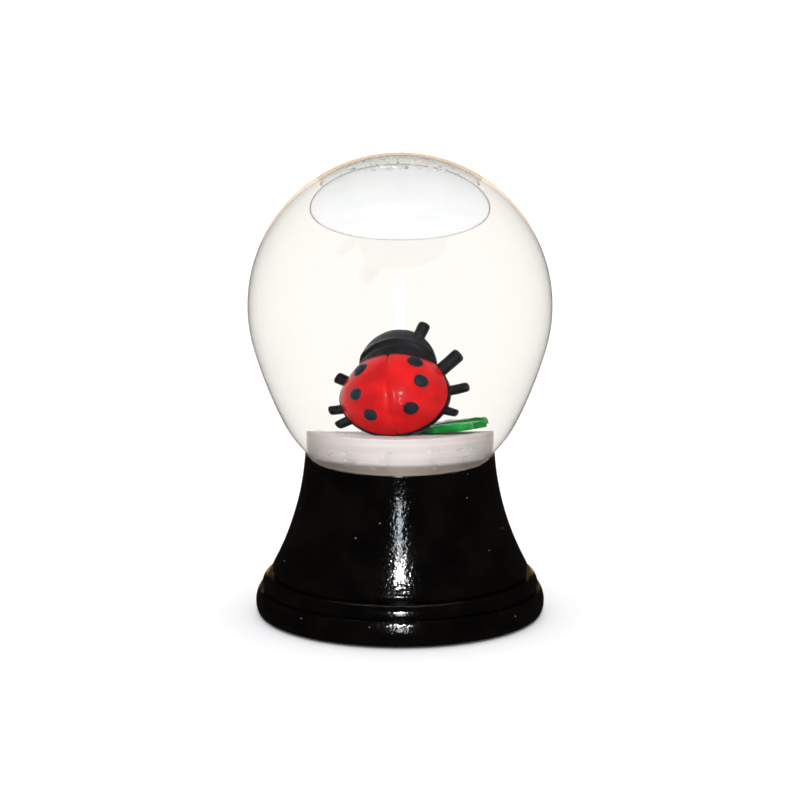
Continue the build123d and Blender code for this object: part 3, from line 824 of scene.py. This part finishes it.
def leafOutline():
    # Half of the heart from its stalk to the middle of its notch, then the other half back.
    def bezier(points, t):
        while len(points) > 1:
            points = [a.lerp(b, t) for a, b in zip(points, points[1:])]
        return points[0]

    long, half = leaf["length"], leaf["width"] / 2
    corner = (long, half * 0.62)
    pulls = (0.4 * long, half * 0.55), (0.75 * long, half * 1.3)
    side = [Vector(p) for p in ((0, 0), *pulls, corner)]
    end = [Vector(p) for p in (corner, (long, half * 0.2), (long * 0.93, 0))]
    upper = [bezier(side, k / 44) for k in range(44)] + [bezier(end, k / 16) for k in range(17)]
    return [(p.x, p.y) for p in upper] + [(p.x, -p.y) for p in upper[-2:0:-1]]


def leaflet(turnDeg, droopDeg, seed):
    t, d = math.radians(turnDeg), math.radians(droopDeg)
    ahead = Vector((math.cos(t) * math.cos(d), math.sin(t), math.cos(t) * math.sin(d)))
    up = Vector((-math.sin(d), 0, math.cos(d)))
    left = up.cross(ahead)
    thick, half = leaf["thickness"], leaf["width"] / 2

    def place(x, y, z):
        return Vector(leaf["stalk"]) + ahead * x + left * y + up * z

    def top(x, y, part):
        cup, vein = leaf["cup"] * (abs(y) / half) ** 2, leaf["vein"] * math.exp(-((y / 0.11) ** 2))
        ribs = math.sin((x * 1.1 - abs(y)) * 5.2) * 0.03 * min(1.0, abs(y) * 2)
        turnDown = 0.25 * max(0.0, (part - 0.9) / 0.1) ** 2.5
        return thick - 0.1 + cup - vein + ribs + 0.05 * wander((x, y, 0), 0.9, seed) - turnDown

    def under(x, y, part):
        return 0.03 * max(0.0, (part - 0.85) / 0.15) ** 2

    verts, faces = slab(leafOutline(), (leaf["length"] * 0.6, 0.0), top, under, place, 22, 0.85)
    return stand(verts), faces


leftSpots = merged([spotDot(-1, *at, 2.0 + k) for k, at in enumerate(spot["leftAt"])])
rightSpots = merged([spotDot(1, *at, 6.0 + k) for k, at in enumerate(spot["rightAt"])])
figure = {  # points and faces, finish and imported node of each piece
    "wingCaseLeft": (wingCase(-1), red, "wing_case_left"),
    "wingCaseRight": (wingCase(1), red, "wing_case_right"),
    "belly": (belly(), black, "ladybug_belly"),
    "headCap": (headCap(), black, "ladybug_head"),
    "spotsLeft": (leftSpots, spotPaint, "spots_left"),
    "spotsRight": (rightSpots, spotPaint, "spots_right"),
}
cadNames = {
    "feelerLeft": "antenna_left", "feelerRight": "antenna_right",
    "legFrontLeft": "leg_front_left", "legFrontRight": "leg_front_right",
    "legMiddleLeft": "leg_middle_left", "legMiddleRight": "leg_middle_right",
    "legRearLeft": "leg_rear_left", "legRearRight": "leg_rear_right",
    "leafRight": "leaflet_right", "leafBackRight": "leaflet_back_right", "leafBack": "leaflet_back",
}
for number, (name, node) in enumerate(cadNames.items()):
    if name in feelers:
        figure[name] = (feeler(*feelers[name]), black, node)
    elif name in legs:
        figure[name] = (leg(*legs[name], number * 1.3), black, node)
    else:
        figure[name] = (leaflet(*leaf[name], number * 1.7), green, node)
figurePieces = []
for name, ((verts, faces), finish, node) in figure.items():
    made = piece(name, verts, faces, [finish], 70)
    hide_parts(node)
    figurePieces.append(made)
print("ladybug and clover made")


crownSnow = {
    "reach": 4.2, "squash": 0.6, "flake": 0.2, "spacing": 0.22, "density": 5.5e6,
    "seed": 7, "gap": 0.07,
    "lean": 0.35, "smallest": 0.45, "largest": 1.15, "plate": 0.72, "bevelZ": 0.26, "middleZ": 0.3,
}


def flakeMesh():
    # One shaved flake: an uneven six-sided plate with bevelled faces.
    chance = random.Random(3)
    rim = []
    for k in range(6):
        a = k * math.pi / 3
        rim.append((math.cos(a) * chance.uniform(0.8, 1.1), math.sin(a) * chance.uniform(0.8, 1.1)))
    plate, bevelZ, middleZ = crownSnow["plate"], crownSnow["bevelZ"], crownSnow["middleZ"]
    verts = [(0, 0, middleZ)] + [(x * plate, y * plate, bevelZ) for x, y in rim]
    verts += [(x, y, 0.0) for x, y in rim]
    verts += [(x * plate, y * plate, -bevelZ) for x, y in rim] + [(0, 0, -middleZ)]
    faces = [(0, 1 + k, 1 + (k + 1) % 6) for k in range(6)]
    for row in range(2):
        a, b = 1 + row * 6, 7 + row * 6
        faces += [(a + k, b + k, b + (k + 1) % 6, a + (k + 1) % 6) for k in range(6)]
    faces += [(13 + k, 19, 13 + (k + 1) % 6) for k in range(6)]
    mesh = bpy.data.meshes.new("flake")
    mesh.from_pydata([Vector(v) * crownSnow["flake"] * mm for v in verts], [], faces)
    return bpy.data.objects.new("flake", mesh)


def crownPatch():
    # The patch of the dry inner face of the crown that snow clings to.
    reach = globe["radius"] - globe["wall"] - crownSnow["gap"]
    verts, faces, rows, turns = [(0, 0, globe["centreZ"] + reach)], [], 10, 48
    for row in range(1, rows + 1):
        for k in range(turns):
            a, r = 2 * math.pi * k / turns, crownSnow["reach"] * row / rows
            x, y = r * math.cos(a), r * math.sin(a) * crownSnow["squash"]
            verts.append((x, y, globe["centreZ"] + math.sqrt(reach * reach - x * x - y * y)))
    faces = [(0, 1 + k, 1 + (k + 1) % turns) for k in range(turns)]
    for row in range(rows - 1):
        a, b = 1 + row * turns, 1 + (row + 1) * turns
        faces += [(a + k, b + k, b + (k + 1) % turns, a + (k + 1) % turns) for k in range(turns)]
    mesh = bpy.data.meshes.new("crownPatch")
    mesh.from_pydata([Vector(v) * mm for v in verts], [], faces)
    return mesh


def scatterTree(flake, finish):
    # Points scattered on the surface, a turned and scaled flake on each.
    tree = bpy.data.node_groups.new("scatterFlakes", "GeometryNodeTree")
    tree.interface.new_socket("Geometry", in_out="INPUT", socket_type="NodeSocketGeometry")
    number = "NodeSocketFloat"
    sizes = ("Spacing", number, 0.0), ("Density", number, 0.0), ("Seed", "NodeSocketInt", 0)
    for word, kind, low in sizes:
        made = tree.interface.new_socket(word, in_out="INPUT", socket_type=kind)
        made.min_value = low
    tree.interface.new_socket("Geometry", in_out="OUTPUT", socket_type="NodeSocketGeometry")
    start, end = tree.nodes.new("NodeGroupInput"), tree.nodes.new("NodeGroupOutput")
    points = tree.nodes.new("GeometryNodeDistributePointsOnFaces")
    points.distribute_method = "POISSON"
    shape = tree.nodes.new("GeometryNodeObjectInfo")
    shape.inputs["Object"].default_value = flake
    place = tree.nodes.new("GeometryNodeInstanceOnPoints")
    spin = tree.nodes.new("FunctionNodeRandomValue")
    grow = tree.nodes.new("FunctionNodeRandomValue")
    spin.data_type, grow.data_type = "FLOAT_VECTOR", "FLOAT"
    lean = crownSnow["lean"]
    spin.inputs[0].default_value = (-lean, -lean, 0.0)
    spin.inputs[1].default_value = (lean, lean, 6.283)  # a full turn about its own middle
    grow.inputs[2].default_value = crownSnow["smallest"]
    grow.inputs[3].default_value = crownSnow["largest"]
    turned = tree.nodes.new("FunctionNodeRotateRotation")
    real = tree.nodes.new("GeometryNodeRealizeInstances")
    turned.rotation_space = "LOCAL"
    paint = tree.nodes.new("GeometryNodeSetMaterial")
    paint.inputs["Material"].default_value = finish
    join = tree.links.new
    join(start.outputs["Geometry"], points.inputs["Mesh"])
    join(start.outputs["Spacing"], points.inputs["Distance Min"])
    join(start.outputs["Density"], points.inputs["Density Max"])
    join(start.outputs["Seed"], points.inputs["Seed"])
    join(start.outputs["Seed"], spin.inputs["Seed"])
    join(start.outputs["Seed"], grow.inputs["Seed"])
    join(points.outputs["Points"], place.inputs["Points"])
    join(shape.outputs["Geometry"], place.inputs["Instance"])
    join(points.outputs["Rotation"], turned.inputs["Rotation"])
    join(spin.outputs["Value"], turned.inputs["Rotate By"])
    join(turned.outputs["Rotation"], place.inputs["Rotation"])
    join(grow.outputs["Value"], place.inputs["Scale"])
    join(place.outputs["Instances"], real.inputs["Geometry"])
    join(real.outputs["Geometry"], paint.inputs["Geometry"])
    join(paint.outputs["Geometry"], end.inputs["Geometry"])
    return tree


def scattered(name, surface, values, finish):
    flake = flakeMesh()
    carrier = bpy.data.objects.new(name + "Carrier", surface)
    bpy.context.scene.collection.objects.link(carrier)
    tree = scatterTree(flake, finish)
    modifier = carrier.modifiers.new("scatter", "NODES")
    modifier.node_group = tree
    for item in tree.interface.items_tree:
        if item.in_out == "INPUT" and item.name in values:
            modifier[item.identifier] = values[item.name]
    carrier.update_tag()
    evaluated = carrier.evaluated_get(bpy.context.evaluated_depsgraph_get())
    mesh = bpy.data.meshes.new_from_object(evaluated)
    carrier.modifiers.remove(modifier)
    bpy.data.objects.remove(carrier)
    bpy.data.objects.remove(flake)
    mesh.name = name
    made = bpy.data.objects.new(name, mesh)
    bpy.context.scene.collection.objects.link(made)
    return made


spread = {
    "Spacing": crownSnow["spacing"] * mm, "Density": crownSnow["density"], "Seed": crownSnow["seed"],
}
snowOnCrown = scattered("snowOnCrown", crownPatch(), spread, drySnow)
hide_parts("snow_on_crown")
print("crown snow:", len(snowOnCrown.data.polygons) // 30, "flakes")


glassPieces = [globeGlass, waterBody, airBubble, sideBubbles]
basePieces = [pedestalShell, cementBead, feltPad, plugDisc]
for made in [*glassPieces, *basePieces, snowOnCrown, *figurePieces]:
    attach(made, "globe")
finishes = {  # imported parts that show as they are
    "bottom_cover": coverBlack, "plug_seal_ring": rubber,
    "snow_bed": wetSnow, "snow_on_plug": wetSnow,
}
finishes.update({f"snow_lift_{k}": wetSnow for k in range(1, 7)})
for name, finish in finishes.items():
    mesh = nodes[name].data
    mesh.materials.clear()
    mesh.materials.append(finish)
print("finishes given to the packed parts")


studio = {
    "distance": 0.8, "height": 0.2146, "tiltDeg": 76.2, "viewDeg": 4.569,
    "pale": (1.0, 0.98, 0.945), "room": (0.012, 0.01, 0.009), "glow": 1.07,
    "paper": (0.93, 0.945, 0.98, 1), "paperRoughness": 0.9, "paperShine": 0.1, "floorHalf": 6,
}
camera = bpy.data.objects.new("camera", bpy.data.cameras.new("camera"))
camera.location = (0, -studio["distance"], studio["height"])
camera.rotation_euler = (math.radians(studio["tiltDeg"]), 0, 0)
camera.data.angle = math.radians(studio["viewDeg"])
camera.data.clip_start, camera.data.clip_end = 0.01, 20
bpy.context.scene.collection.objects.link(camera)
bpy.context.scene.camera = camera

floorMesh = bpy.data.meshes.new("studioFloor")
half = studio["floorHalf"]
corners = [(-half, -half, 0), (half, -half, 0), (half, half, 0), (-half, half, 0)]
floorMesh.from_pydata(corners, [], [(0, 1, 2, 3)])
floor = bpy.data.objects.new("studioFloor", floorMesh)
paper = bpy.data.materials.new("paper")
paper.use_nodes = True
shader = paper.node_tree.nodes["Principled BSDF"]
shader.inputs["Base Color"].default_value = studio["paper"]
shader.inputs["Roughness"].default_value = studio["paperRoughness"]
shader.inputs["Specular IOR Level"].default_value = studio["paperShine"]
floorMesh.materials.append(paper)
bpy.context.scene.collection.objects.link(floor)

world = bpy.data.worlds.new("studioAir")
world.use_nodes = True
air = world.node_tree
path, dim = air.nodes.new("ShaderNodeLightPath"), air.nodes.new("ShaderNodeMix")
dim.data_type = "RGBA"  # a dark room in reflections, pale paper all round behind the glass
dim.inputs[6].default_value = (*studio["pale"], 1)
dim.inputs[7].default_value = (*studio["room"], 1)
notThroughGlass = 1.0 - Value(air, path.outputs["Is Transmission Ray"])
mirrored = Value(air, path.outputs["Is Glossy Ray"]) * notThroughGlass
air.links.new(mirrored.socket, dim.inputs[0])
air.links.new(dim.outputs[2], air.nodes["Background"].inputs["Color"])
air.nodes["Background"].inputs["Strength"].default_value = studio["glow"]
bpy.context.scene.world = world
floor.visible_glossy = floor.visible_transmission = False


def softLamp(name, place, towards, size, watts, colour=(1, 1, 1)):
    lamp = bpy.data.lights.new(name, "AREA")
    lamp.shape, lamp.size, lamp.size_y = "RECTANGLE", size[0], size[1]
    lamp.energy, lamp.color = watts, colour
    made = bpy.data.objects.new(name, lamp)
    made.location = place
    made.rotation_euler = (Vector(towards) - Vector(place)).to_track_quat("-Z", "Y").to_euler()
    bpy.context.scene.collection.objects.link(made)
    return made


softLamp("flash", (0.004, -0.8, 0.49), (0, 0, 0.02), (0.085, 0.065), 3.0)
softLamp("strip", (0.004, -0.95, 0.26), (0, 0, 0.02), (0.07, 0.4), 1.4, (0.86, 0.93, 1.0))
woodTone = (1.0, 0.6, 0.25)
warm = softLamp("warmBack", (0, 0.6, 0.03), (0, 0, 0.015), (0.3, 0.16), 0.16, woodTone)
warm.visible_transmission = warm.visible_camera = False
bpy.context.scene.view_settings.view_transform = "Standard"
print("studio set")
